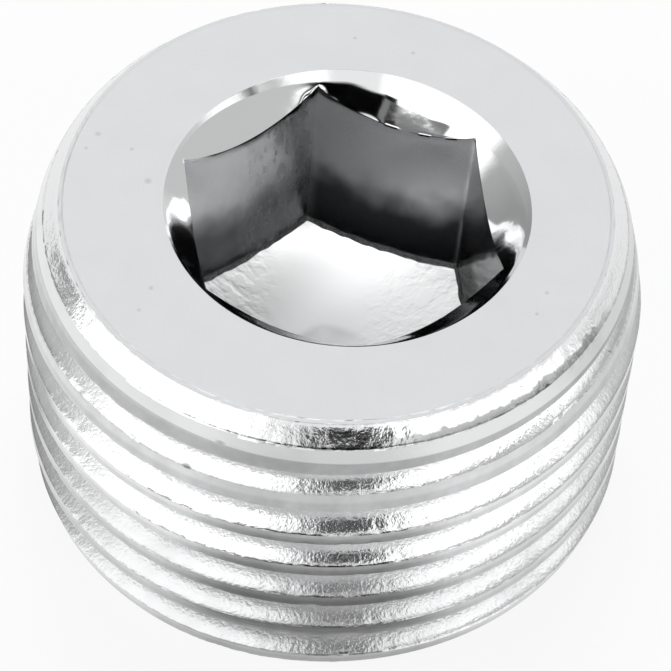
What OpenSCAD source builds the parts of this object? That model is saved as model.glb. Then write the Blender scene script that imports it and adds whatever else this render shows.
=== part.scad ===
// Threaded pipe plug: one solid piece, standing on its small end, all sizes in millimetres.
// The axis is the Z axis, the small end rests at z = 0 and the hexagon socket opens upward.
// The front of the part faces -Y.

/* [Body] */
// height from the small end to the flat top face
body_h = 9.8; // [8.5:0.1:12]
// crest diameter of the tapered body, read at the top face
crest_d = 17.1; // [16.7:0.05:17.6]
// narrowing of the diameter for each millimetre of height, one in sixteen
taper = 0.0625; // [0.03:0.0025:0.09]
// facets around every round surface
round_facets = 96; // [48:8:128]

/* [Top edge] */
// diameter of the flat top face
face_d = 14.5; // [13.6:0.1:15]
// width of the flatter lip between the face and the bevel
lip_w = 0.22; // [0.08:0.02:0.3]
// height of that lip
lip_h = 0.06; // [0.03:0.01:0.1]
// diameter where the bevel ends and the plain land begins
land_d = 15.8; // [15.7:0.05:16.1]
// height of the bevel from the top face down to the land
bevel_h = 0.58; // [0.4:0.02:0.7]
// height of the plain land above the first crest
land_h = 0.42; // [0.3:0.02:0.6]
// diameter of the first crest, where the land ends
start_d = 16.25; // [16.15:0.05:16.6]
// height over which the crests grow from there to their full diameter
grow_h = 1.9; // [1:0.1:2.6]

/* [Thread] */
// distance from one crest to the next along the axis
pitch = 1.411; // [1.2:0.001:1.6]
// width of the flat left on each crest
crest_w = 0.4; // [0.3:0.02:0.5]
// width of the flat at the bottom of the groove
root_w = 0.14; // [0.08:0.02:0.24]
// angle of each side of the groove from a level plane
flank_angle = 30; // [27:0.5:33]
// depth of the last full groove below the top face, read at the front
last_groove = 1.63; // [1.5:0.01:2]
// part of a turn over which the groove fades out at the top
fade_turn = 0.45; // [0.3:0.05:0.6]
// steps that draw one turn of the groove
turn_steps = 40; // [32:4:48]

/* [Small end] */
// height of the lead bevel at the small end
lead_h = 0.8; // [0.3:0.05:1.2]
// width of that bevel
lead_w = 0.2; // [0.1:0.02:0.4]

/* [Hexagon socket] */
// width of the socket across its flats
hex_flats = 8; // [7.4:0.05:8.4]
// depth of the socket's walls below the top face
hex_depth = 6; // [5:0.1:6.8]
// turn of the socket about the axis, degrees
hex_turn = 41.1; // [0:0.1:59.9]
// how far the socket sits off the axis, toward +X
hex_shift = 0.12; // [0:0.02:0.16]
// depth of the shallow dish in the socket's floor
dish_h = 0.55; // [0.3:0.05:0.7]
// diameter of that dish, always kept inside the socket's walls
dish_d = 7.6; // [6.6:0.1:7.7]
// diameter of the level middle of the dish
dish_flat_d = 2.4; // [1.6:0.1:3.2]

/* [Countersink] */
// diameter of the countersunk mouth at the top face
mouth_d = 9.65; // [9.2:0.05:10.6]
// slope of the countersink from the top face, degrees
mouth_slope = 45; // [35:1:50]
// how far the countersink sits off the axis, toward +X
mouth_shift = 0.26; // [0:0.02:0.3]

/* [Hidden] */

groove_depth = (pitch - crest_w - root_w) / 2 / tan(flank_angle);
// the cutter stands this far outside the crests, so that it cuts cleanly
cutter_out = 0.12;
// turns counted from the front (-Y) at the last full groove, negative downward
first_turn = -(body_h - last_groove + 1.1 * pitch) / pitch;
last_turn = 0.25 + fade_turn;
steps = ceil((last_turn - first_turn) * turn_steps);

function crest_r(z) = (crest_d - (body_h - z) * taper) / 2;
// depth of the groove along the helix: full, then easing out past the crest surface
function fade(t) = max(0, (t - 0.25) / fade_turn);
function depth_at(t) = groove_depth - (groove_depth + 2 * cutter_out) * pow(fade(t), 1.4);
function turn_at(i) = first_turn + i / steps * (last_turn - first_turn);
// one section of the cutter: low outside, high outside, high inside, low inside
function section(t) =
    let (a = 360 * t - 90,
         z = body_h - last_groove + t * pitch,
         r_in = crest_r(z) - depth_at(t),
         r_out = r_in + groove_depth + cutter_out,
         w_in = root_w / 2,
         w_out = w_in + (groove_depth + cutter_out) * tan(flank_angle))
    [for (p = [[r_out, -w_out], [r_out, w_out], [r_in, w_in], [r_in, -w_in]])
        [p[0] * cos(a), p[0] * sin(a), z + p[1]]];

module plug() {
    color([0.78, 0.79, 0.80])
    difference() {
        blank();
        groove();
        socket();
    }
}

// the turned body before the thread is cut
module blank() {
    z_land = body_h - bevel_h;
    z_start = z_land - land_h;
    z_full = z_start - grow_h;
    rotate_extrude($fn = round_facets)
    polygon([
        [0, 0],
        [crest_r(0) - lead_w, 0],
        [crest_r(lead_h), lead_h],
        [crest_r(z_full), z_full],
        [start_d / 2, z_start],
        [land_d / 2, z_land],
        [face_d / 2 + lip_w, body_h - lip_h],
        [face_d / 2, body_h],
        [0, body_h]
    ]);
}

// the helical groove, a closed strip of four-cornered sections
module groove() {
    points = [for (i = [0 : steps]) each section(turn_at(i))];
    sides = [for (i = [0 : steps - 1]) for (k = [0 : 3])
        let (a = 4 * i + k, b = 4 * i + (k + 1) % 4)
        each [[a, b, b + 4], [a, b + 4, a + 4]]];
    ends = [[3, 2, 1], [3, 1, 0], [4 * steps, 4 * steps + 1, 4 * steps + 2], [4 * steps, 4 * steps + 2, 4 * steps + 3]];
    polyhedron(points = points, faces = concat(sides, ends), convexity = 12);
}

// the hexagon socket with its countersunk mouth and the shallow dish in its floor
module socket() {
    corner_r = hex_flats / sqrt(3);
    z_floor = body_h - hex_depth;
    mouth_h = mouth_d / 2 * tan(mouth_slope);
    dish_r = min(dish_d, hex_flats - 0.2) / 2;
    translate([hex_shift, 0, z_floor]) {
        rotate([0, 0, hex_turn])
        cylinder(h = hex_depth + 1, r = corner_r, $fn = 6);
        translate([0, 0, -dish_h])
        cylinder(h = dish_h + 0.01, r1 = dish_flat_d / 2, r2 = dish_r, $fn = round_facets);
    }
    translate([mouth_shift, 0, body_h - mouth_h])
    cylinder(h = 2 * mouth_h, r1 = 0, r2 = mouth_d, $fn = round_facets);
}

plug();
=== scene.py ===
import math

import bmesh
import bpy
import numpy as np
from mathutils import Matrix, Vector, noise


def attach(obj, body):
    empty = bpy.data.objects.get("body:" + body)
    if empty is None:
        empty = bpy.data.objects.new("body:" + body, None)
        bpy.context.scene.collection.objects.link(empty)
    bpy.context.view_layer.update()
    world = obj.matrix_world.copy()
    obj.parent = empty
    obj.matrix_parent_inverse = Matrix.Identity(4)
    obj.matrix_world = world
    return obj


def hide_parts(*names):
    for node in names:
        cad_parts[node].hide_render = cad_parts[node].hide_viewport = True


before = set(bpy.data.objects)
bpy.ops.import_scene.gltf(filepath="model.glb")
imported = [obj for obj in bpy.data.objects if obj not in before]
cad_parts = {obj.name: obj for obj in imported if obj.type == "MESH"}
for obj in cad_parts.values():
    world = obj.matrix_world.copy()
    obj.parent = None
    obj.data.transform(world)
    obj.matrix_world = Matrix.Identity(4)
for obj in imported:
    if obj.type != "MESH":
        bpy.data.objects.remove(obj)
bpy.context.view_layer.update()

mm = 0.001
topFace = 9.8  # height of the top face in mm
fullTurn = 2 * math.pi


class Wire:
    # one output socket; arithmetic on it adds Math nodes to the same tree
    def __init__(self, bench, socket):
        self.bench = bench
        self.socket = socket

    def out(self, name):
        return Wire(self.bench, self.socket.node.outputs[name])

    def math(self, operation, *others):
        values = dict(enumerate((self,) + others))
        return self.bench.add("ShaderNodeMath", {"operation": operation}, values)

    def __add__(self, other):
        return self.math("ADD", other)

    __radd__ = __add__

    def __sub__(self, other):
        return self.math("SUBTRACT", other)

    def __rsub__(self, other):
        return self.bench.add("ShaderNodeMath", {"operation": "SUBTRACT"}, {0: other, 1: self})

    def __mul__(self, other):
        return self.math("MULTIPLY", other)

    __rmul__ = __mul__

    def __truediv__(self, other):
        return self.math("DIVIDE", other)

    def __pow__(self, other):
        return self.math("POWER", other)

    def __abs__(self):
        return self.math("ABSOLUTE")

    def clip(self, low=0.0, high=1.0):
        return self.math("MAXIMUM", low).math("MINIMUM", high)

    def ramp(self, low, high, first=0.0, last=1.0, kind="LINEAR"):
        values = {0: self, 1: low, 2: high, 3: first, 4: last}
        return self.bench.add("ShaderNodeMapRange", {"interpolation_type": kind}, values)


class Bench:
    # adds nodes to one tree: type, settings, then the values or wires of its inputs
    def __init__(self, tree):
        self.tree = tree

    def add(self, kind, settings=None, values=None, output=0):
        made = self.tree.nodes.new(kind)
        for name, value in (settings or {}).items():
            setattr(made, name, value)
        for key, value in (values or {}).items():
            if isinstance(value, Wire):
                self.tree.links.new(value.socket, made.inputs[key])
            else:
                made.inputs[key].default_value = value
        return Wire(self, made.outputs[output] if len(made.outputs) else None)


# camera, at the photograph's viewing angle

cameraView = {
    "elevation": 50.36,  # degrees above the horizon
    "roll": 3.5,
    "focal": 5000.0,  # in picture pixels
    "picture": 671,
    "topCentre": (336.9, 205.7),  # where the middle of the top face falls
    "pixelsPerUnit": 295.2,
    "unit": 7.909 * mm,  # the top edge's radius
    "sensor": 36.0,
}


def makeCamera(v):
    tilt, roll = math.radians(v["elevation"]), math.radians(v["roll"])
    right = Vector((math.cos(roll), math.sin(roll) * math.sin(tilt), math.sin(roll) * math.cos(tilt)))
    up = Vector((-math.sin(roll), math.cos(roll) * math.sin(tilt), math.cos(roll) * math.cos(tilt)))
    forward = Vector((0.0, math.cos(tilt), -math.sin(tilt)))
    distance = v["focal"] / v["pixelsPerUnit"]
    middle = v["picture"] / 2
    across = (v["topCentre"][0] - middle) * distance / v["focal"]
    above = -(v["topCentre"][1] - middle) * distance / v["focal"]
    place = Vector((0, 0, topFace * mm)) - (across * right + above * up + distance * forward) * v["unit"]
    data = bpy.data.cameras.new("productCamera")
    data.sensor_width = v["sensor"]
    data.lens = v["focal"] / v["picture"] * v["sensor"]
    data.clip_start, data.clip_end = 0.005, 5.0
    camera = bpy.data.objects.new("productCamera", data)
    turned = Matrix((right, up, -forward)).transposed().to_4x4()
    camera.matrix_world = Matrix.Translation(place) @ turned
    bpy.context.scene.collection.objects.link(camera)
    bpy.context.scene.camera = camera


makeCamera(cameraView)
print("camera ready")


# plated steel: one material, its zones told apart by attributes stored on the mesh

plating = {
    "bright": (0.80, 0.805, 0.81, 1),
    "faceColour": (0.694, 0.705, 0.718, 1),
    "wallColour": (0.56, 0.565, 0.57, 1),
    # painted shade of the socket's recess, at the walls' foot and on their left
    "wallShadeLowColour": (0.045, 0.047, 0.05, 1),
    "wallShadeLeftColour": (0.17, 0.173, 0.176, 1),
    "chipColour": (0.62, 0.625, 0.63, 1),
    "cornerHighlightColour": (0.9, 0.9, 0.9, 1),
    "floorColour": (0.87, 0.875, 0.88, 1),
    "shadeAndMarkColour": (0.1, 0.1, 0.105, 1),
    # painted reflection: the crests' colours are lighter on their upper halves and darker on their lower
    # halves and the upper turns, standing in for the shaded floor they mirror
    "crestShade": 1.04,
    "crestLowShade": 0.88,  # lower half of each crest
    "upperCrestShade": 0.88,  # the crests above 7.2 mm
    "firstCrestShade": 0.8,  # the first one again
    "crestMottle": 0.25,
    "dullPaintedShade": 0.74,
    "footShade": 0.42,
    "faceMottle": 0.07,
    "faceSpeckle": 0.05,
    "crestEdgeShadeDark": 0.45,
    "chipDark": 0.6,
    "stainDark": 0.22,
    "nickDark": 0.7,
    "threadRoughness": 0.13,
    "dullRoughness": 0.24,  # lower turns and the right side
    "faceRoughness": 0.16,
    "faceMilk": 0.6,  # how far the face's plating is matt
    "mouthRoughness": 0.06,
    "wallRoughness": 0.1,
    "milkRoughness": 0.35,
    "floorRoughness": 0.24,
    "dullAndShadedBelow": (5.0, 3.0),  # heights in mm where the lower turns begin to be dull and shaded, and are
    "dullAndShadedRight": (5.2, 7.6),  # the same on the right side, in mm from the axis
    "tornScale": 10.0,  # per mm
    "flankBump": 0.0075,  # mm
    "dullFlankBump": 1.35,  # times that, where the plating is dull
    "rightBevelBump": 1.6,
    "bevelBump": 0.0095,
    "crestBump": 0.003,
    "faceBump": 0.0004,
    "mouthBump": 0.0009,
    "wallBump": 0.001,
    "milkBump": 0.004,
    "floorBump": 0.0007,
    "rayBump": 0.005,
    "chipBump": 0.008,
}

stains = [  # small dull spots on the top face: x, y, size in mm
    (-5.1, 0.47, 0.13), (-6.57, 2.05, 0.11), (-5.62, 1.58, 0.08), (-6.85, 1.51, 0.07), (-4.76, -3.27, 0.09),
    (-5.02, -4.05, 0.07), (0.21, 6.17, 0.07), (1.83, 5.74, 0.08), (5.69, -2.61, 0.08), (5.44, -3.35, 0.07),
]

nicks = [  # small dark dents on the side: turn from the front in degrees, height, width in mm
    (-19.2, 8.89, 0.34), (-25.1, 7.66, 0.26), (-13.0, 6.44, 0.24), (33.0, 8.86, 0.2),
    (12.0, 8.9, 0.16), (48.0, 6.3, 0.2),
]

hook = (68.3, 8.36, 0.24, 0.045)  # a curved nick on the right: turn, height, radius, thickness


def platedSteel(p):
    material = bpy.data.materials.new("platedSteel")
    material.use_nodes = True
    tree = material.node_tree
    tree.nodes.clear()
    bench = Bench(tree)
    place = bench.add("ShaderNodeTexCoord").out("Object")
    inMm = bench.add("ShaderNodeVectorMath", {"operation": "SCALE"}, {0: place, "Scale": 1000.0})
    parts = bench.add("ShaderNodeSeparateXYZ", {}, {0: inMm})
    x, y, z = parts.out("X"), parts.out("Y"), parts.out("Z")

    def zone(name):
        return bench.add("ShaderNodeAttribute", {"attribute_name": name}).out("Fac")

    def vector(operation, first, second):
        return bench.add("ShaderNodeVectorMath", {"operation": operation}, {0: first, 1: second})

    def grain(vector, scale, detail=2.0, roughness=0.5):
        values = {"Vector": vector, "Scale": scale, "Detail": detail, "Roughness": roughness}
        return bench.add("ShaderNodeTexNoise", {}, values)

    def mixed(factor, first, second):
        settings = {"data_type": "RGBA"}
        return bench.add("ShaderNodeMix", settings, {0: factor, 6: first, 7: second}, 2)

    def blend(factor, first, second):
        return first + (second - first) * factor

    groove, bevel, face, mouth = zone("groove"), zone("bevel"), zone("face"), zone("mouth")
    wall, rise, chip, floor = zone("wall"), zone("rise"), zone("chip"), zone("floor")
    threaded, step, creaseShade, corner = zone("threaded"), zone("step"), zone("creaseShade"), zone("corner")

    flank = groove.ramp(0.0, 0.06) * threaded
    crest = threaded - flank

    patchy = grain(inMm, 0.8, 1.0)
    coarse = grain(inMm, 2.6)
    torn = grain(inMm, p["tornScale"], 2.0, 0.55)
    fine = grain(inMm, 13.0, 2.0, 0.6)
    outward = vector("NORMALIZE", vector("MULTIPLY", inMm, (1, 1, 0)), (0, 0, 0))
    turning = grain(vector("MULTIPLY", inMm, (1.2, 1.2, 9.0)), 1.0)
    streaks = grain(vector("MULTIPLY", inMm, (5.0, 5.0, 0.5)), 1.0)
    blots = grain(vector("MULTIPLY", inMm, (2.4, 2.4, 0.9)), 1.0, 3.0, 0.6)
    spread = vector("MULTIPLY", outward, (17, 17, 0))
    rays = grain(vector("ADD", spread, vector("MULTIPLY", inMm, (0.5, 0.5, 0))), 1.0)

    # the lower turns and the right side are rougher, and their colour is darkened as painted shade
    low = z.ramp(*p["dullAndShadedBelow"], 0, 1, "SMOOTHSTEP")
    rightSide = x.ramp(*p["dullAndShadedRight"], 0, 1, "SMOOTHSTEP")
    dullAndShaded = ((low + rightSide).clip() * 0.8 + patchy.ramp(0.5, 0.75) * 0.3).clip()
    # a milky patch beside the socket's back corner
    milk = wall * y.ramp(1.9, 3.6, 0, 1, "SMOOTHSTEP") * x.ramp(-0.6, -0.9) * blots.ramp(0.4, 0.6)
    rayArea = floor * coarse.ramp(0.42, 0.58) * (x.ramp(0.6, 2.0) + x.ramp(-1.4, -2.6)).clip()
    speck = fine.ramp(0.62, 0.7) * coarse.ramp(0.52, 0.62)

    height = (
        flank * torn * blend(dullAndShaded, p["flankBump"], p["flankBump"] * p["dullFlankBump"])
        + bevel * torn * blend(rightSide, p["bevelBump"], p["bevelBump"] * p["rightBevelBump"])
        + crest * (turning + torn) * p["crestBump"]
        + face * coarse * p["faceBump"]
        + mouth * streaks * p["mouthBump"]
        + wall * (coarse + speck * -0.8) * p["wallBump"]
        + milk * torn * p["milkBump"]
        + floor * coarse * p["floorBump"]
        + rayArea * rays * p["rayBump"]
        + chip * torn * p["chipBump"]
    )
    bumped = bench.add("ShaderNodeBump", {}, {"Strength": 1.0, "Distance": 0.001, "Height": height})

    roughness = (
        blend(dullAndShaded, p["threadRoughness"], p["dullRoughness"]) * (threaded + bevel)
        + p["faceRoughness"] * face
        + p["mouthRoughness"] * mouth
        + blend(milk, p["wallRoughness"], p["milkRoughness"]) * wall
        + p["floorRoughness"] * (floor + chip)
    )

    def sidePoint(turn, height, radius=8.2):
        return (radius * math.sin(math.radians(turn)), -radius * math.cos(math.radians(turn)), height)

    dented = 0
    for turn, height, width in nicks:
        flat = vector("MULTIPLY", vector("SUBTRACT", inMm, sidePoint(turn, height)), (0.7, 0.7, 1.8))
        dented = vector("LENGTH", flat, (0, 0, 0)).out("Value").ramp(width * 0.5, width * 0.25) + dented
    turn, height, radius, thickness = hook
    away = vector("DISTANCE", inMm, sidePoint(turn, height)).out("Value")
    left = sidePoint(turn, height)[1] - 0.04
    hooked = abs(away - radius).ramp(thickness, thickness * 0.4) * y.ramp(left, left - 0.05)
    dented = (dented + hooked).clip() * threaded
    # a ragged grey band along the foot of the bevel on the right
    foot = (z + (coarse - 0.5) * 0.3 + (torn - 0.5) * 0.12).ramp(9.43, 9.37)
    foot = foot * bevel * x.ramp(0.6, 2.8) * y.ramp(-2.4, -3.6)

    stained = 0
    for atX, atY, size in stains:
        away = vector("DISTANCE", inMm, (atX, atY, topFace)).out("Value")
        stained = away.ramp(size, size * 0.35) + stained
    stained = stained.clip() * face

    # painted reflection and shade on the crests, by their height and their place within a pitch
    crestTone = blend(step.ramp(0.48, 0.56), p["crestLowShade"], p["crestShade"])
    crestTone = crestTone + (coarse - 0.5) * p["crestMottle"]
    crestTone = crestTone * z.ramp(6.9, 7.2, 1, p["upperCrestShade"])
    crestTone = crestTone * z.ramp(8.2, 8.4, 1, p["firstCrestShade"])
    crestTone = crestTone.math("MAXIMUM", z.ramp(8.76, 8.86, 0, 1.0))  # the plain land stays bright
    # painted shade darkens the lower turns and the right side
    tone = (1 - crest * (1 - crestTone)) * blend(dullAndShaded * threaded, 1, p["dullPaintedShade"])
    tone = tone * blend(foot, 1, p["footShade"])
    tone = tone * (1 + face * ((patchy - 0.5) * p["faceMottle"] + (torn - 0.5) * p["faceSpeckle"]))
    # painted reflection: a dark line along each crest's upper edge
    crestEdgeShade = crest * groove.ramp(0.0, 0.02) * step.ramp(0.5, 0.6) * torn.ramp(0.42, 0.6)
    dark = creaseShade * torn.ramp(0.3, 0.5) + crestEdgeShade * p["crestEdgeShadeDark"] + chip * fine.ramp(0.35, 0.6) * p["chipDark"]
    dark = (dark + stained * p["stainDark"] + dented * p["nickDark"]).clip()
    # painted shade in the socket: the walls' colour darkens towards their foot and on the left
    unshadedWall = (rise + (patchy - 0.5) * 0.35 + (blots - 0.5) * 0.1).ramp(0.26, 0.56, 0, 1, "SMOOTHSTEP")
    wallShadeColour = mixed(x.ramp(-0.5, -1.1), p["wallShadeLowColour"], p["wallShadeLeftColour"])
    walls = mixed(unshadedWall.math("MAXIMUM", milk * 0.3) * x.ramp(-0.8, 2.8, 0.6, 1), wallShadeColour, p["wallColour"])
    base = mixed(wall, mixed(face, p["bright"], p["faceColour"]), walls)
    base = mixed(chip, mixed(floor, base, p["floorColour"]), p["chipColour"])
    # painted highlight along the socket's corner
    base = mixed(corner * blots.ramp(0.3, 0.5), base, p["cornerHighlightColour"])
    # dark marks: painted shade along creases and crest edges, and real chips, stains and nicks
    base = mixed(dark, base, p["shadeAndMarkColour"])
    colour = vector("MULTIPLY", base, bench.add("ShaderNodeCombineXYZ", {}, {0: tone, 1: tone, 2: tone}))

    shader = bench.add("ShaderNodeBsdfPrincipled", {}, {
        "Base Color": colour, "Metallic": 1 - face * p["faceMilk"],
        "Roughness": roughness.clip(0.06, 0.9), "Normal": bumped,
    })
    bench.add("ShaderNodeOutputMaterial", {}, {"Surface": shader})
    return material


steel = platedSteel(plating)
print("plated steel ready")


# the threaded skin: a grid wound round the axis along the helix, shaped in Geometry Nodes

thread = {
    "columns": 540,
    "firstAngle": 41.1,  # degrees; the columns then meet the hexagon's corners
    "pitch": 1.411,  # mm, as all lengths here
    "crestDiameter": 17.1,  # read at the top face
    "taper": 0.0625,
    "crestWidth": 0.4,
    "rootWidth": 0.14,
    "flankAngle": 30.0,
    "topHeight": 9.22,  # where the bevel begins
    "topRadius": 7.9,
    "startHeight": 8.8,
    "startRadius": 8.075,
    "fullHeight": 6.8,
    "leadHeight": 0.8,
    "leadWidth": 0.2,
    "lastGroove": 8.17,  # height of the last full groove at the front
    "fadeTurns": 0.45,
    "overCut": 0.12,
    "rounding": 0.05,
    "edgeWidth": 0.05,  # worn upper edge of the first crests
    "edgeLeast": 0.03,  # and of the lower ones
    "edgeSlope": 0.25,
    "wear": 0.11,
    "wearSize": 0.22,
    "edgeBand": 0.14,
    "clearance": 0.008,
    "mergeDistance": 0.0004,
    "seed": 3.0,
    # rows of the grid below and above the middle of each groove
    "rowsPerPitch": [
        -0.57, -0.52, -0.47, -0.4, -0.3, -0.2, -0.08, 0, 0.08, 0.2, 0.3, 0.39, 0.46, 0.51, 0.56, 0.68,
    ],
}


def crestRadius(t, height):
    return (t["crestDiameter"] - (topFace - height) * t["taper"]) / 2


def rowHeights(t):
    # heights of the grid's rows at its first column, gathered round each groove
    base = t["lastGroove"] + t["pitch"] * (t["firstAngle"] + 90) / 360
    rows = [base + t["pitch"] * n + offset for n in range(-9, 3) for offset in t["rowsPerPitch"]]
    spare = 0.2
    return sorted(h for h in rows if -t["pitch"] - spare < h < t["topHeight"] + spare)


def threadTree(inputs):
    tree = bpy.data.node_groups.new("helicalThread", "GeometryNodeTree")
    tree.interface.new_socket(name="Geometry", in_out="INPUT", socket_type="NodeSocketGeometry")
    tree.interface.new_socket(name="Geometry", in_out="OUTPUT", socket_type="NodeSocketGeometry")
    names = {}
    for name, kind in inputs:
        made = tree.interface.new_socket(name=name, in_out="INPUT", socket_type="NodeSocket" + kind)
        names[name] = made.identifier
    bench = Bench(tree)
    given = bench.add("NodeGroupInput")
    size = {name: given.out(name) for name, kind in inputs}
    rows = bench.add("GeometryNodeAttributeDomainSize", {"component": "MESH"}, {0: given.out("Geometry")})
    rowCount = rows.out("Point Count")
    grid = bench.add("GeometryNodeMeshGrid", {}, {"Vertices X": size["Columns"] + 1, "Vertices Y": rowCount})
    index = bench.add("GeometryNodeInputIndex")
    column = (index / rowCount).math("FLOOR")
    row = index - column * rowCount
    place = bench.add("GeometryNodeInputPosition")
    sampled = bench.add(
        "GeometryNodeSampleIndex", {"data_type": "FLOAT_VECTOR", "domain": "POINT"},
        {0: given.out("Geometry"), 1: place, 2: row},
    )
    start = bench.add("ShaderNodeSeparateXYZ", {}, {0: sampled}).out("Z")
    turn = column / size["Columns"]
    angle = size["First Angle"] + turn * fullTurn
    turns = (angle + math.pi / 2) / fullTurn  # counted from the front
    height = (start + turn * size["Pitch"]).math("MAXIMUM", 0.0).math("MINIMUM", size["Top Height"])
    phase = (height - size["Last Groove"]) / size["Pitch"] - turns
    nearest = phase.math("ROUND")
    away = abs(phase - nearest) * size["Pitch"]

    cosine, sine = angle.math("COSINE"), angle.math("SINE")
    onCrest = {0: cosine * size["Crest Radius"], 1: sine * size["Crest Radius"], 2: height}
    spot = bench.add("ShaderNodeCombineXYZ", {}, onCrest)
    ragged = bench.add(
        "ShaderNodeTexNoise", {"noise_dimensions": "4D"},
        {"Vector": spot, "W": size["Seed"], "Scale": size["Wear Scale"], "Detail": 2.0},
    )

    cone = size["Crest Radius"] + height * size["Taper"]
    lead = size["End Radius"] + height * size["Lead Slope"]
    grow = size["Start Radius"] + (size["Start Height"] - height) * size["Growth Slope"]
    land = size["Start Radius"] + (size["Start Height"] - height) * size["Land Slope"]
    blank = cone.math("SMOOTH_MIN", lead, size["Rounding"])
    blank = blank.math("SMOOTH_MIN", grow, size["Rounding"]).math("MINIMUM", land)

    fade = ((nearest + turns - 0.25) / size["Fade Turns"]).clip()
    lifted = (size["Groove Depth"] + 2 * size["Over Cut"]) * fade ** 1.4
    reachHere = size["Groove Reach"] - (cone - blank + lifted) / size["Flank Slope"]
    edge = ((away - reachHere) / size["Edge Band"] + 1).clip()
    unevenness = (ragged - 0.5) * size["Wear"] * (edge * 0.92 + 0.08)
    raw = (size["Groove Reach"] - away) * size["Flank Slope"] + unevenness
    groove = cone - raw.math("SMOOTH_MIN", size["Groove Depth"], size["Rounding"]) + lifted
    below = (nearest - phase).math("GREATER_THAN", 0.0)
    edgeWidth = height.ramp(size["Full Height"], size["Start Height"], size["Edge Least"], size["Edge Width"])
    worn = (reachHere + edgeWidth - away).clip() * size["Edge Slope"] * below
    radius = (blank - worn).math("SMOOTH_MIN", groove, size["Rounding"])
    depth = ((blank - radius) / size["Groove Depth"]).clip()
    radius = radius - size["Clearance"] - abs(unevenness) * 0.12 * depth

    placed = bench.add("ShaderNodeCombineXYZ", {}, {0: cosine * radius, 1: sine * radius, 2: height})
    shaped = bench.add("GeometryNodeSetPosition", {}, {"Geometry": grid, "Position": placed})
    step = phase - phase.math("FLOOR")  # place within one pitch, 0 at the groove's middle
    for name, value in (("groove", depth), ("threaded", 1.0), ("step", step)):
        shaped = bench.add(
            "GeometryNodeStoreNamedAttribute", {"data_type": "FLOAT", "domain": "POINT"},
            {"Geometry": shaped, "Name": name, "Value": value},
        )
    merging = {"Geometry": shaped, "Distance": size["Merge Distance"]}
    merged = bench.add("GeometryNodeMergeByDistance", {}, merging)
    real = bench.add("GeometryNodeRealizeInstances", {}, {"Geometry": merged})
    finished = bench.add("GeometryNodeSetMaterial", {}, {"Geometry": real, "Material": size["Finish"]})
    bench.add("NodeGroupOutput", {}, {0: finished})
    return tree, names


def makeThreadSkin(t, material):
    endRadius = crestRadius(t, 0) - t["leadWidth"]
    fullRadius = crestRadius(t, t["fullHeight"])
    slope = 1 / math.tan(math.radians(t["flankAngle"]))
    lengths = {
        "Pitch": t["pitch"], "Top Height": t["topHeight"], "Last Groove": t["lastGroove"],
        "Crest Radius": crestRadius(t, 0), "End Radius": endRadius,
        "Start Radius": t["startRadius"], "Start Height": t["startHeight"], "Full Height": t["fullHeight"],
        "Edge Width": t["edgeWidth"], "Edge Least": t["edgeLeast"],
        "Groove Reach": (t["pitch"] - t["crestWidth"]) / 2,
        "Groove Depth": (t["pitch"] - t["crestWidth"] - t["rootWidth"]) / 2 * slope,
        "Edge Band": t["edgeBand"],
        "Over Cut": t["overCut"], "Rounding": t["rounding"], "Wear": t["wear"], "Clearance": t["clearance"],
        "Merge Distance": t["mergeDistance"],
    }
    numbers = {
        "First Angle": math.radians(t["firstAngle"]),
        "Taper": t["taper"] / 2,
        "Lead Slope": (crestRadius(t, t["leadHeight"]) - endRadius) / t["leadHeight"],
        "Growth Slope": (fullRadius - t["startRadius"]) / (t["startHeight"] - t["fullHeight"]),
        "Land Slope": (t["startRadius"] - t["topRadius"]) / (t["topHeight"] - t["startHeight"]),
        "Flank Slope": slope,
        "Fade Turns": t["fadeTurns"],
        "Edge Slope": t["edgeSlope"],
        "Wear Scale": 1 / (t["wearSize"] * mm),
        "Seed": t["seed"],
    }
    kinds = [(name, "Float") for name in list(lengths) + list(numbers)]
    tree, names = threadTree(kinds + [("Columns", "Int"), ("Finish", "Material")])
    rows = bpy.data.meshes.new("threadRows")
    rows.from_pydata([(0, 0, h * mm) for h in rowHeights(t)], [], [])
    worker = bpy.data.objects.new("threadRows", rows)
    bpy.context.scene.collection.objects.link(worker)
    modifier = worker.modifiers.new("helix", "NODES")
    modifier.node_group = tree
    for name, value in lengths.items():
        modifier[names[name]] = value * mm
    for name, value in numbers.items():
        modifier[names[name]] = value
    modifier[names["Columns"]] = t["columns"]
    modifier[names["Finish"]] = material
    bpy.context.view_layer.update()
    graph = bpy.context.evaluated_depsgraph_get()
    skin = bpy.data.meshes.new_from_object(worker.evaluated_get(graph), depsgraph=graph)
    worker.modifiers.remove(modifier)
    bpy.data.objects.remove(worker)
    return skin


threadSkin = makeThreadSkin(thread, steel)
print("thread wound:", len(threadSkin.vertices), "points")


# the rest: rings of points, one for each column of the thread, from the bevel in to the socket's floor

top = {
    "faceRadius": 7.34,  # mm
    "lipRadius": 7.47,
    "lipHeight": 9.772,
    "bevelRough": 0.03,
    "bevelBurr": 0.014,
    "lipRough": 0.016,
    "sideAngle": (-48, 17),  # middle and spread of the rough stretch on the right, degrees
    "creaseShadeAngle": (-88, 15),  # and of the painted shade line under the bevel
}

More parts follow.
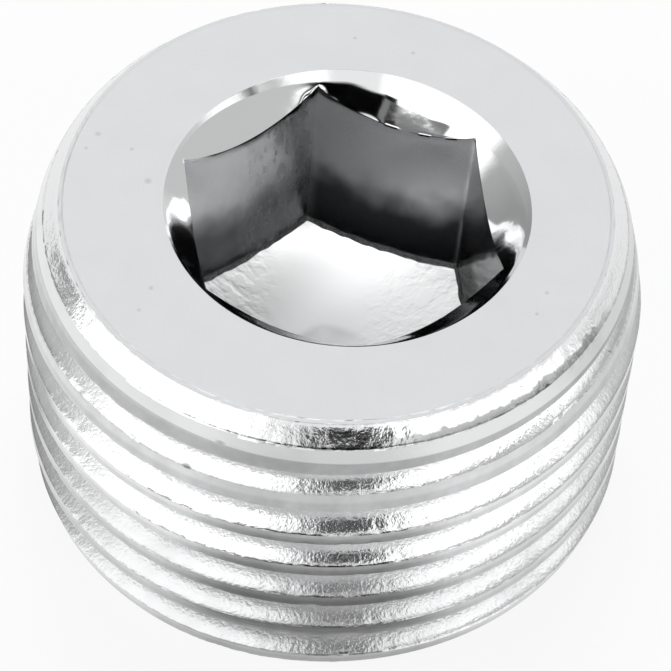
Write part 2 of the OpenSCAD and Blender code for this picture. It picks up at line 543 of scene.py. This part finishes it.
socket = {
    "flats": 8.0,  # mm
    "floorHeight": 3.8,
    "turn": 41.1,
    "shift": 0.17,  # toward +X, at the top
    "lean": -0.14,  # from there to the floor
    "draft": 0.98,
    "dishDepth": 0.55,
    "dishRadius": 3.8,
    "dishFlat": 1.2,  # radius of the level middle
    "mouthSlope": 45.0,
    "mouthShift": 0.26,
    "rimRadius": 4.98,
    "rimFront": 4.865,
    "rimSlope": 40.5,
    # width of the broken edge round the mouth, by angle
    "rimAngles": [-90, 0, 30, 60, 75, 92, 115, 150, 180],
    "rimWidths": [0.08, 0.15, 0.35, 0.55, 0.48, 0.26, 0.22, 0.1, 0.08],
    # burrs on the socket's corners: angle, spread, height
    "burrs": [(101.1, 1.4, 0.05), (105.6, 1.3, 0.035), (41.1, 1.2, 0.03), (161.1, 1.0, 0.02)],
    "chipWidth": 0.05,  # torn edge round the floor
    "chipHeight": 0.2,
    "footRough": 0.07,
    "wallInset": 0.012,
}

zones = [
    "groove", "threaded", "step", "creaseShade", "bevel", "face", "mouth", "wall", "rise", "chip", "floor", "corner",
]


def columnAngles(t):
    return np.radians(t["firstAngle"] + np.arange(t["columns"]) * 360 / t["columns"])


def circle(angles, radius, height, centre=0.0):
    return np.column_stack([
        centre + radius * np.cos(angles), radius * np.sin(angles), np.broadcast_to(height, angles.shape),
    ])


def roughness(points, size, seed):
    # smooth noise between -1 and 1 at each point; size in the points' own millimetres
    shift = Vector((seed * 7.3, seed * 3.1, seed * 5.7))
    return np.array([noise.noise(Vector(p) / size + shift) for p in points])


def hexagonRadius(angles, s):
    corner = np.radians(s["turn"])
    local = np.mod(angles - corner, math.pi / 3) - math.pi / 6
    return s["flats"] / 2 / np.cos(local)


def edgeRing(mesh, height, t):
    # the skin's own points at one height, sorted by column, in millimetres
    points = np.zeros(len(mesh.vertices) * 3)
    mesh.vertices.foreach_get("co", points)
    points = points.reshape(-1, 3) / mm
    ring = points[np.abs(points[:, 2] - height) < 1e-4]
    step = fullTurn / t["columns"]
    order = np.mod(np.arctan2(ring[:, 1], ring[:, 0]) - math.radians(t["firstAngle"]) + step / 2, fullTurn)
    return ring[np.argsort(order)]


def nearAngle(angles, middle, spread):
    # 1 at the middle angle, falling off to both sides; degrees, 0 is +X and -90 the front
    away = (np.degrees(angles) - middle + 180) % 360 - 180
    return np.exp(-away ** 2 / (2 * spread ** 2))


def bevelRings(t, s, angles):
    rings = []
    lower = edgeRing(threadSkin, t["topHeight"], t)
    # the right side of the bevel is rough, with a rolled burr along its lower edge
    side = nearAngle(angles, *s["sideAngle"])
    # painted shade: a dark line along the crease under the bevel, darkest at the front and on the rough right
    # side
    bevelCreaseShade = 0.12 + 0.88 * nearAngle(angles, *s["creaseShadeAngle"]) + 0.3 * side
    rings.append((lower, {"threaded": 1.0, "creaseShade": bevelCreaseShade * 0.5}))
    for part in (0.04, 0.12, 0.3, 0.5, 0.7, 0.88):
        radius = t["topRadius"] + (s["lipRadius"] - t["topRadius"]) * part
        height = t["topHeight"] + (s["lipHeight"] - 0.02 - t["topHeight"]) * part
        ring = circle(angles, radius, height)
        rough = roughness(ring, 0.3, 1) * 0.6 + roughness(ring, 0.14, 2) * 0.4
        dent = (rough * 0.5 + 0.3) * s["bevelRough"] * (1 + 1.5 * side)
        if part < 0.2:
            dent = (np.abs(rough) + 0.2) * s["bevelRough"] * (1 + 2.5 * side)
        marks = {"bevel": 1.0, "creaseShade": bevelCreaseShade if part < 0.1 else side * 0.3 if part < 0.2 else 0.0}
        rings.append((circle(angles, radius - dent * 0.77, height - dent * 0.63), marks))
    rim = circle(angles, s["lipRadius"], s["lipHeight"])
    burr = roughness(rim, 0.2, 3) * s["bevelBurr"]
    rings.append((circle(angles, s["lipRadius"] + 0.012, s["lipHeight"] - 0.034 + burr), {"bevel": 1.0}))
    # painted shade along the rim between the bevel and the face
    rimCreaseShade = 0.1 + 0.35 * nearAngle(angles, s["creaseShadeAngle"][0], 45)
    rim = circle(angles, s["lipRadius"], s["lipHeight"] - 0.006 + burr)
    rings.append((rim, {"bevel": 0.5, "creaseShade": rimCreaseShade}))
    for part in (0.12, 0.3, 0.6, 0.85):
        radius = s["lipRadius"] + (s["faceRadius"] - s["lipRadius"]) * part
        height = s["lipHeight"] + (topFace - s["lipHeight"]) * part
        ring = circle(angles, radius, height)
        dot = roughness(ring, 0.12, 4) * s["lipRough"] * (1 if part < 0.7 else 0.5)
        # a faint painted shade line where the lip meets the flat face
        creaseShade = 0.12 if part > 0.8 else 0.0
        rings.append((circle(angles, radius, height - 0.008 + dot), {"face": 1.0, "creaseShade": creaseShade}))
    return rings


def rimShape(h, angles):
    # outer radius of the mouth's broken edge, and its width
    back = (1 + np.sin(angles + 0.35)) / 2
    radius = h["rimFront"] + (h["rimRadius"] - h["rimFront"]) * np.clip(back * 1.6, 0, 1)
    return radius, np.interp(np.degrees(angles), h["rimAngles"], h["rimWidths"], period=360)


def faceRings(s, hole, angles):
    rings = []
    for part in (0.0, 0.02, 0.35, 0.7, 0.97, 1.0):
        radius = s["faceRadius"] + (rimShape(hole, angles)[0] - s["faceRadius"]) * part
        rings.append((circle(angles, radius, topFace, hole["mouthShift"] * part), {"face": 1.0}))
    return rings


def bowlHeight(h, reach):
    # the socket's floor: level in the middle, then rising to the walls
    outer = np.clip((reach - h["dishFlat"]) / (h["dishRadius"] - h["dishFlat"]), 0, 1.3)
    return h["floorHeight"] - h["dishDepth"] * (1 - outer * (0.35 + 0.65 * outer))


def socketRings(h, angles):
    rings = []
    slope = math.tan(math.radians(h["mouthSlope"]))
    middle = h["mouthShift"]
    start, width = rimShape(h, angles)
    fall = math.tan(math.radians(h["rimSlope"]))
    for part in (0.04, 0.5, 0.94, 1.0):
        ring = circle(angles, start - width * part, topFace - width * part * fall, middle)
        rings.append((ring, {"mouth": 1.0}))
    rim = rings[-1][0]
    outline = circle(angles, hexagonRadius(angles, h), 0.0, h["shift"])
    for part in (0.2, 0.4, 0.6, 0.8, 0.95, 1.0):
        ring = rim + (outline - rim) * part
        reach = np.hypot(ring[:, 0] - middle, ring[:, 1])
        ring[:, 2] = rim[:, 2] - (start - width - reach) * slope
        if part < 1:
            ring[:, 2] += 0.006 * roughness(ring, 0.5, 5)
        if part > 0.7:
            for angle, spread, height in h["burrs"]:
                ring[:, 2] += nearAngle(angles, angle, spread) * height * (part - 0.7) / 0.3
        rings.append((ring, {"mouth": 1.0}))
    lip = rings[-1][0]
    reach = hexagonRadius(angles, h) * h["draft"]
    foot = circle(angles, reach, bowlHeight(h, reach) + h["chipHeight"], h["shift"] + h["lean"])
    foot[:, 2] += roughness(foot, 0.35, 6) * h["footRough"]
    inward = -np.column_stack([np.cos(angles), np.sin(angles), np.zeros(len(angles))])
    streak = roughness(foot * (1, 1, 0), 0.6, 7)[:, None] * 0.006
    # painted highlight: a lighter colour along the socket's corner stands in for the glint of a small fillet
    cornerHighlight = nearAngle(angles, h["turn"], 0.5)
    for part in (0.015, 0.06, 0.2, 0.36, 0.52, 0.68, 0.84, 0.95, 1.0):
        ring = lip + (foot - lip) * part + inward * (h["wallInset"] + streak)
        bright = cornerHighlight * (0.9 if part < 0.5 else 0.35)
        rings.append((ring, {"wall": 1.0, "rise": 1.0 - part, "corner": bright}))
    for part, drop in ((0.3, 0.5), (0.7, 0.85), (1.0, 1.0)):
        ring = foot + inward * (h["chipWidth"] * part + h["wallInset"])
        ring += inward * (roughness(ring, 0.3, 8) * 0.05)[:, None]
        reach = np.hypot(ring[:, 0] - h["shift"] - h["lean"], ring[:, 1])
        height = foot[:, 2] + (bowlHeight(h, reach) - foot[:, 2]) * drop
        ring[:, 2] = height + (roughness(ring, 0.16, 9) * 0.03 if part < 1 else 0)
        rings.append((ring, {"chip": 1.0} if part < 1 else {"floor": 1.0}))
    inner = rings[-1][0]
    for part in (0.03, 0.07, 0.11, 0.16, 0.22, 0.3, 0.38, 0.46, 0.54, 0.61, 0.66, 0.69, 0.72, 0.86):
        ring = inner * (1, 1, 0) * (1 - part) + np.array([h["shift"] + h["lean"], 0, 0]) * part
        reach = np.hypot(ring[:, 0] - h["shift"] - h["lean"], ring[:, 1])
        ring[:, 2] = bowlHeight(h, reach)
        rings.append((ring, {"floor": 1.0}))
    return rings


def joinBody(skin, ringSets, poles, material):
    # the thread skin and the ring sets become one closed mesh
    count = len(skin.vertices)
    points = np.zeros(count * 3)
    skin.vertices.foreach_get("co", points)
    points = [points.reshape(-1, 3)]
    marks = {name: [np.zeros(count)] for name in zones}
    for name in ("groove", "threaded", "step"):
        skin.attributes[name].data.foreach_get("value", marks[name][0])
    faces = [tuple(face.vertices) for face in skin.polygons]
    start = count
    for rings, pole in zip(ringSets, poles):
        size = len(rings[0][0])
        for number, (ring, values) in enumerate(rings):
            points.append(ring * mm)
            for name in zones:
                marks[name].append(np.broadcast_to(values.get(name, 0.0), size))
            if number:
                a = start + (number - 1) * size
                b = start + number * size
                faces += [(a + i, a + (i + 1) % size, b + (i + 1) % size, b + i) for i in range(size)]
        last = start + (len(rings) - 1) * size
        centre = last + size
        points.append(np.array([pole]) * mm)
        for name in zones:
            marks[name].append(np.array([rings[-1][1].get(name, 0.0)]))
        faces += [(last + i, last + (i + 1) % size, centre) for i in range(size)]
        start = centre + 1
    mesh = bpy.data.meshes.new("threadedPlug")
    mesh.from_pydata(np.concatenate(points).tolist(), [], faces)
    for name in zones:
        values = np.concatenate(marks[name]).astype(np.float32)
        mesh.attributes.new(name, "FLOAT", "POINT").data.foreach_set("value", values)
    build = bmesh.new()
    build.from_mesh(mesh)
    bmesh.ops.remove_doubles(build, verts=build.verts, dist=0.0006 * mm)
    bmesh.ops.dissolve_degenerate(build, edges=build.edges, dist=0.0001 * mm)
    bmesh.ops.recalc_face_normals(build, faces=build.faces)
    openEdges = sum(1 for edge in build.edges if len(edge.link_faces) != 2)
    build.to_mesh(mesh)
    build.free()
    mesh.materials.clear()
    mesh.materials.append(material)
    mesh.shade_smooth()
    mesh.set_sharp_from_angle(angle=math.radians(32))
    print("body joined:", len(mesh.polygons), "faces,", openEdges, "open edges")
    body = bpy.data.objects.new("threadedPlug", mesh)
    bpy.context.scene.collection.objects.link(body)
    return body


angles = columnAngles(thread)
upperRings = bevelRings(thread, top, angles) + faceRings(top, socket, angles) + socketRings(socket, angles)
endRing = edgeRing(threadSkin, 0.0, thread)
endRings = [(endRing, {"threaded": 1.0})]
endRings += [(endRing * (part, part, 1), {"face": 1.0}) for part in (0.995, 0.98, 0.7, 0.35)]
floorMiddle = (socket["shift"] + socket["lean"], 0, socket["floorHeight"] - socket["dishDepth"])
plug = joinBody(threadSkin, [upperRings, endRings], [floorMiddle, (0, 0, 0)], steel)
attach(plug, "root")
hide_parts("plug")
print("plug ready")


# floor, light and reflections

studio = {
    "floorSize": 0.6,
    "floorColour": (0.93, 0.93, 0.935, 1),
    "floorLift": 0.86,
    "nearShade": 0.93,  # painted shadow of the plug and the camera on the floor in front, seen only in reflections
    "leftPaintedShadow": 0.55,
    "worldLight": 0.4,
    # what the plating mirrors; azimuth 0 is the camera's side, 90 is +X
    "around": 1.0,
    "high": 1.6,
    "zenith": 2.6,
    "behind": 1.1,
    "left": 1.6,
    "leftBand": (-94, -20, 5),  # azimuth from and to, and how soft its ends are, in degrees
    "right": 1.6,
    "rightHigh": 1.8,
    "rightBand": (19, 106, 7),
    "leftSide": 0.58,
    "leftLow": 0.36,
    "leftSideBand": (-152, -96, 5),
    "rightSide": 0.8,
    "rightSideBand": (88, 150, 12),
    "panel": 0.65,
    "panelBand": (18, 132, 4),
    # dark camera side: rising and falling edge across, then its elevations
    "strip": ((-0.15, -0.02), (0.32, 0.42), (19, 47, 4)),
    "crown": ((-0.17, -0.04), (0.15, 0.25), (55, 83, 3)),
    # dark gaps between the lamps: band of azimuth, band of elevation, amount
    "gap": 0.0,
    "gaps": [
        ((-23, 24, 1), (34, 45.5, 1), 1.0),
        ((-31, -22, 1), (40, 47, 1.5), 1.0),
        ((62, 90, 3), (41, 46.5, 1.5), 0.8),
    ],
    "bar": 0.24,
    "square": 0.02,
    # lamps: name, azimuth, elevation, distance, width, height, radiance
    "softboxes": [
        ("leftSoftbox", -58, 26, 0.2, 0.2, 0.19, 1.35),
        ("rightSoftbox", 42, 26, 0.2, 0.1, 0.19, 1.35),
        ("backSoftbox", 180, 52, 0.25, 0.16, 0.16, 4.0),
    ],
}


def makeFloor(s):
    mesh = bpy.data.meshes.new("studioFloor")
    half = s["floorSize"] / 2
    corners = [(-half, -half, 0), (half, -half, 0), (half, half, 0), (-half, half, 0)]
    mesh.from_pydata(corners, [], [(0, 1, 2, 3)])
    floor = bpy.data.objects.new("studioFloor", mesh)
    bpy.context.scene.collection.objects.link(floor)
    material = bpy.data.materials.new("studioFloor")
    material.use_nodes = True
    material.node_tree.nodes.clear()
    bench = Bench(material.node_tree)
    parts = bench.add("ShaderNodeSeparateXYZ", {}, {0: bench.add("ShaderNodeTexCoord").out("Object")})
    x, y = parts.out("X") * 1000, parts.out("Y") * 1000
    reach = (x * x + y * y) ** 0.5
    # painted shadow: in reflections only, the floor's glow is darker in front of the plug and in a patch to
    # its left
    front = (0 - y / reach).ramp(0.78, 0.975, 0.0, 1.0, "SMOOTHSTEP")
    near = reach.ramp(9.0, 17.0, 1.0, 0.27) * reach.ramp(8.9, 9.7, 0.4, 1.0) * front
    leftPaintedShadow = y.ramp(-2.2, -0.4, 0, s["leftPaintedShadow"]) * y.ramp(2.6, 1.0)
    near = near + leftPaintedShadow * x.ramp(-13.9, -12.0) * x.ramp(-9.0, -9.5)
    path = bench.add("ShaderNodeLightPath")
    mirrored = (path.out("Is Glossy Ray") + path.out("Is Transmission Ray")).clip()
    matt = bench.add("ShaderNodeBsdfDiffuse", {}, {"Color": s["floorColour"]})
    shade = 1 - mirrored * near * s["nearShade"]
    glow = bench.add("ShaderNodeEmission", {}, {"Color": (1, 1, 1, 1), "Strength": shade})
    seen = (path.out("Is Camera Ray") + mirrored).clip() * s["floorLift"]
    both = bench.add("ShaderNodeMixShader", {}, {0: seen, 1: matt, 2: glow})
    bench.add("ShaderNodeOutputMaterial", {}, {"Surface": both})
    mesh.materials.append(material)


def makeWorld(s):
    # white for the camera; reflections see soft boxes, a bright ceiling and the dark camera side
    world = bpy.data.worlds.new("studioWorld")
    bpy.context.scene.world = world
    world.use_nodes = True
    world.node_tree.nodes.clear()
    bench = Bench(world.node_tree)
    way = bench.add("ShaderNodeSeparateXYZ", {}, {0: bench.add("ShaderNodeTexCoord").out("Generated")})
    x, y = way.out("X"), way.out("Y")
    azimuth = x.math("ARCTAN2", 0 - y) * math.degrees(1)
    elevation = way.out("Z").math("ARCSINE") * math.degrees(1)

    def band(value, low, high, soft):
        rising = value.ramp(low - soft, low + soft, 0, 1, "SMOOTHSTEP")
        return rising * value.ramp(high - soft, high + soft, 1, 0, "SMOOTHSTEP")

    def painted(under, amount, value):
        return under + (value - under) * amount

    def darkPatch(rising, falling, up):
        across = x.ramp(*rising, 0, 1, "SMOOTHSTEP") * x.ramp(*falling, 1, 0, "SMOOTHSTEP")
        return across * band(elevation, *up)

    slanted = elevation + azimuth * 0.42
    shine = painted(s["around"], band(azimuth, *s["leftBand"]), s["left"])
    rightLight = slanted.ramp(70, 74, s["right"], s["rightHigh"])
    shine = painted(shine, band(azimuth, *s["rightBand"]), rightLight)
    leftSide = elevation.ramp(8, 28, s["leftLow"], s["leftSide"])
    shine = painted(shine, band(azimuth, *s["leftSideBand"]) * elevation.ramp(44, 36), leftSide)
    shine = painted(shine, band(azimuth, *s["rightSideBand"]) * elevation.ramp(40, 28), s["rightSide"])

    # the ceiling, bright above the plug and plain behind it
    ceiling = abs(azimuth).ramp(96, 128, 1, 0, "SMOOTHSTEP").math("MAXIMUM", elevation.ramp(68, 80))
    high = painted(elevation.ramp(67, 74, s["high"], s["zenith"]), y.ramp(0.0, 0.12), s["behind"])
    shine = painted(shine, ceiling * elevation.ramp(53, 60, 0, 1, "SMOOTHSTEP"), high)
    panel = band(slanted, 54, 70, 2.5) * band(azimuth, *s["panelBand"]) * elevation.ramp(49, 46)
    shine = painted(shine, panel, s["panel"])

    inFront = y.ramp(-0.02, 0.02, 1, 0)
    cameraSide = (darkPatch(*s["strip"]) + darkPatch(*s["crown"])) * inFront
    shine = painted(shine, cameraSide, elevation.ramp(52, 66, 0.03, 0.06))
    leaning = elevation - (azimuth + 25) * 0.2
    lamp = band(azimuth, -66, -32, 1) * leaning.ramp(42, 43.5) * elevation.ramp(60, 55)
    shine = painted(shine, lamp, s["left"])
    gap = 0.0
    for around, up, amount in s["gaps"]:
        gap = (band(azimuth, *around) * band(elevation, *up) * amount).math("MAXIMUM", gap)
    shine = painted(shine, gap, s["gap"])
    # the grey bar and the dark square beside the camera
    shine = painted(shine, band(azimuth, -65, -23, 1) * band(leaning, 35, 42.7, 0.5), s["bar"])
    shine = painted(shine, band(azimuth, -32.5, -27.5, 0.6) * band(leaning, 35, 42, 0.5), s["square"])

    path = bench.add("ShaderNodeLightPath")
    camera = path.out("Is Camera Ray")
    mirrored = (path.out("Is Glossy Ray") + path.out("Is Transmission Ray")).clip()
    strength = camera + (1 - camera) * (mirrored * shine + (1 - mirrored) * s["worldLight"])
    light = bench.add("ShaderNodeBackground", {}, {"Color": (1, 1, 1, 1), "Strength": strength})
    bench.add("ShaderNodeOutputWorld", {}, {"Surface": light})


def aimed(name, data, azimuth, elevation, distance):
    # azimuth 0 is the camera's side, 90 is +X; the object's local -Z points at the plug
    a, e = math.radians(azimuth), math.radians(elevation)
    back = Vector((math.sin(a) * math.cos(e), -math.cos(a) * math.cos(e), math.sin(e)))
    made = bpy.data.objects.new(name, data)
    middle = Vector((0, 0, 6 * mm))
    turned = (-back).to_track_quat("-Z", "Y").to_matrix().to_4x4()
    made.matrix_world = Matrix.Translation(back * distance + middle) @ turned
    bpy.context.scene.collection.objects.link(made)
    return made


def softbox(name, azimuth, elevation, distance, width, height, radiance):
    # gives the even light and the shadow; its mirror image is part of the world's map
    data = bpy.data.lights.new(name, "AREA")
    data.shape = "RECTANGLE"
    data.size, data.size_y = width, height
    data.energy = radiance * math.pi * width * height
    lamp = aimed(name, data, azimuth, elevation, distance)
    lamp.visible_camera = False
    lamp.visible_glossy = False


makeFloor(studio)
makeWorld(studio)
for values in studio["softboxes"]:
    softbox(*values)
bpy.context.scene.view_settings.view_transform = "Standard"
print("studio ready")
